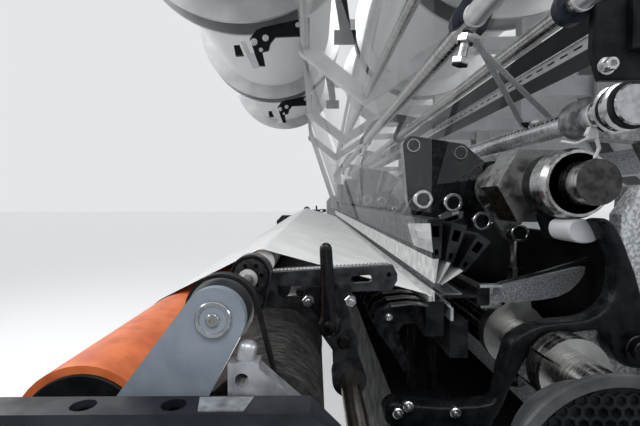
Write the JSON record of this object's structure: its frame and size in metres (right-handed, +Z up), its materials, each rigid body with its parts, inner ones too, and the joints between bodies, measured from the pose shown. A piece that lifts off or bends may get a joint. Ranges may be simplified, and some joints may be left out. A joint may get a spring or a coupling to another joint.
{
  "type": "warp knitting machine",
  "caption": "Warp knitting machine: overhead warp beams, guide bars on a rocker, needle bar, geared selvedge temples and a rubber and emery take-up.",
  "frame": {"origin": "on the floor under the middle of the machine's box", "axes": "+X along the machine towards the end in the picture, -Y towards the operator, +Z up"},
  "size_m": [3.904, 2.5, 2.62],
  "materials": {
    "dark_paint": "satin dark grey paint",
    "grey_paint": "speckled light grey paint",
    "black_cast": "semi-gloss black paint on a casting",
    "light_paint": "light grey paint",
    "blue_grey_paint": "flat blue-grey paint",
    "polished_steel": "ground and polished",
    "steel": "machined",
    "cast_alloy": "blasted casting",
    "alloy": "anodised",
    "rubber_orange": "matt orange rubber",
    "emery": "coarse emery covering",
    "black_rubber": "toothed belt",
    "yarn": "fine white filament yarn",
    "cloth": "fine white knitted fabric",
    "dark_steel": "dark blued steel",
    "black_plastic": "moulded black handle",
    "white_tube": "smooth white sleeve",
    "elastic": "grey elastic band",
    "motor_paint": "grey-blue paint"
  },
  "bodies": {
    "frame": {"end_frames": "dark_paint", "bed": "grey_paint", "swan_necks": "black_cast", "inner_brackets": "black_cast", "guide_bearings": "cast_alloy", "beam_stands": "light_paint", "tie_rails": "grey_paint", "feet": "dark_steel", "spreader_arms": "blue_grey_paint", "end_brackets": "light_paint", "shaft_guard": "dark_paint", "temple_rail": "steel", "shog_drive": "light_paint", "main_motor": "motor_paint", "let_off_motors": "motor_paint", "batch_arms": "grey_paint", "yarn_rods": "polished_steel", "tension_rods": "polished_steel", "rod_hooks": "dark_steel", "hook_rail": "dark_steel", "slotted_tube": "alloy", "tube_brackets": "cast_alloy", "elastic_bands": "elastic", "front_sheet": "yarn", "middle_sheet": "yarn", "rear_sheet": "yarn", "brake_arms": "dark_paint", "fabric": "cloth", "take_up_belts": "black_rubber"},
    "guide_rocker": {"guide_shaft": "polished_steel", "shaft_clamps": "steel", "hangers": "cast_alloy"},
    "links": {"drive_links": "polished_steel"},
    "front_bar": {"front_bar": "dark_steel"},
    "middle_bar": {"middle_bar": "dark_steel"},
    "rear_bar": {"rear_bar": "dark_steel"},
    "needle_bar": {"needle_bar": "dark_steel"},
    "tongue_bar": {"tongue_bar": "dark_steel"},
    "sinker_rocker": {"rocker_shaft": "polished_steel", "fin_levers": "cast_alloy", "sinker_bar": "dark_steel"},
    "main_shaft": {"main_shaft": "steel"},
    "spreader": {"spreader_roller": "white_tube", "temple_shaft": "polished_steel"},
    "rubber_roller": {"rubber_roller": "rubber_orange"},
    "emery_roller": {"emery_roller": "emery"},
    "batch_roll": {"batch_roll": "cloth"},
    "near_temple": {"near_temple": "dark_steel", "near_pin_belt": "steel"},
    "near_gear": {"near_gear": "steel"},
    "near_pinion": {"near_pinion": "steel"},
    "near_lever": {"near_lever": "black_plastic"},
    "far_temple": {"far_temple": "dark_steel", "far_pin_belt": "steel"},
    "far_gear": {"far_gear": "steel"},
    "far_pinion": {"far_pinion": "steel"},
    "far_lever": {"far_lever": "black_plastic"},
    "front_beam": {"front_beam": "alloy"},
    "middle_beam": {"middle_beam": "alloy"},
    "rear_beam": {"rear_beam": "alloy"}
  },
  "joints": [
    {"name": "guide_swing", "type": "hinge", "parent": "frame", "child": "guide_rocker", "pos_m": [0.094, -0.235, 1.171], "axis": [1, 0, 0], "range_deg": [-5, 1.5], "deforming": ["front_sheet", "middle_sheet", "rear_sheet"]},
    {"name": "link_pivot", "type": "hinge", "parent": "guide_rocker", "child": "links", "pos_m": [0.094, -0.211, 1.092], "axis": [1, 0, 0], "range_deg": [-3, 7]},
    {"name": "front_shog", "type": "slide", "parent": "guide_rocker", "child": "front_bar", "axis": [1, 0, 0], "range_m": [-0.012, 0.012]},
    {"name": "middle_shog", "type": "slide", "parent": "guide_rocker", "child": "middle_bar", "axis": [1, 0, 0], "range_m": [-0.012, 0.012]},
    {"name": "rear_shog", "type": "slide", "parent": "guide_rocker", "child": "rear_bar", "axis": [1, 0, 0], "range_m": [-0.012, 0.012]},
    {"name": "needle_lift", "type": "slide", "parent": "frame", "child": "needle_bar", "axis": [0, 0, 1], "range_m": [-0.012, 0]},
    {"name": "tongue_lift", "type": "slide", "parent": "frame", "child": "tongue_bar", "axis": [0, 0, 1], "range_m": [-0.01, 0]},
    {"name": "sinker_swing", "type": "hinge", "parent": "frame", "child": "sinker_rocker", "pos_m": [0.094, -0.28, 0.955], "axis": [1, 0, 0], "range_deg": [-2, 2]},
    {"name": "main_turn", "type": "hinge", "parent": "frame", "child": "main_shaft", "pos_m": [0.094, -0.26, 0.68], "axis": [1, 0, 0], "continuous": true},
    {"name": "emery_turn", "type": "hinge", "parent": "frame", "child": "emery_roller", "pos_m": [0.094, -0.616, 0.95], "axis": [1, 0, 0], "continuous": true},
    {"name": "rubber_turn", "type": "hinge", "parent": "frame", "child": "rubber_roller", "pos_m": [0.094, -0.754, 0.962], "axis": [1, 0, 0], "continuous": true},
    {"name": "spreader_turn", "type": "hinge", "parent": "frame", "child": "spreader", "pos_m": [0.094, -0.644, 1.063], "axis": [1, 0, 0], "continuous": true},
    {"name": "batch_turn", "type": "hinge", "parent": "frame", "child": "batch_roll", "pos_m": [0.094, -0.8, 0.33], "axis": [1, 0, 0], "continuous": true},
    {"name": "near_temple_slide", "type": "slide", "parent": "frame", "child": "near_temple", "axis": [1, 0, 0], "range_m": [-0.04, 0.03]},
    {"name": "far_temple_slide", "type": "slide", "parent": "frame", "child": "far_temple", "axis": [1, 0, 0], "range_m": [-0.03, 0.04]},
    {"name": "near_gear_turn", "type": "hinge", "parent": "near_temple", "child": "near_gear", "pos_m": [0.094, -0.644, 1.063], "axis": [1, 0, 0], "continuous": true},
    {"name": "near_pinion_turn", "type": "hinge", "parent": "near_temple", "child": "near_pinion", "pos_m": [0.094, -0.63978, 1.033], "axis": [1, 0, 0], "continuous": true},
    {"name": "near_lever_turn", "type": "hinge", "parent": "near_temple", "child": "near_lever", "pos_m": [1.714, -0.5534, 1.0094], "axis": [1, 0, 0], "range_deg": [-35, 35]},
    {"name": "far_gear_turn", "type": "hinge", "parent": "far_temple", "child": "far_gear", "pos_m": [0.094, -0.644, 1.063], "axis": [1, 0, 0], "continuous": true},
    {"name": "far_pinion_turn", "type": "hinge", "parent": "far_temple", "child": "far_pinion", "pos_m": [0.094, -0.63978, 1.033], "axis": [1, 0, 0], "continuous": true},
    {"name": "far_lever_turn", "type": "hinge", "parent": "far_temple", "child": "far_lever", "pos_m": [-1.526, -0.5534, 1.0094], "axis": [1, 0, 0], "range_deg": [-35, 35]},
    {"name": "front_beam_turn", "type": "hinge", "parent": "frame", "child": "front_beam", "pos_m": [0.094, -0.83, 2.18], "axis": [1, 0, 0], "continuous": true},
    {"name": "middle_beam_turn", "type": "hinge", "parent": "frame", "child": "middle_beam", "pos_m": [0.094, 0.09, 2.2], "axis": [1, 0, 0], "continuous": true},
    {"name": "rear_beam_turn", "type": "hinge", "parent": "frame", "child": "rear_beam", "pos_m": [0.094, 0.83, 1.56], "axis": [1, 0, 0], "continuous": true}
  ],
  "couplings": [
    {"joint": "link_pivot", "follows": "guide_swing", "ratio": -1},
    {"joint": "rubber_turn", "follows": "emery_turn", "ratio": -0.95652},
    {"joint": "spreader_turn", "follows": "emery_turn", "ratio": 1},
    {"joint": "near_gear_turn", "follows": "emery_turn", "ratio": 1},
    {"joint": "near_pinion_turn", "follows": "emery_turn", "ratio": -2},
    {"joint": "far_gear_turn", "follows": "emery_turn", "ratio": 1},
    {"joint": "far_pinion_turn", "follows": "emery_turn", "ratio": -2}
  ]
}
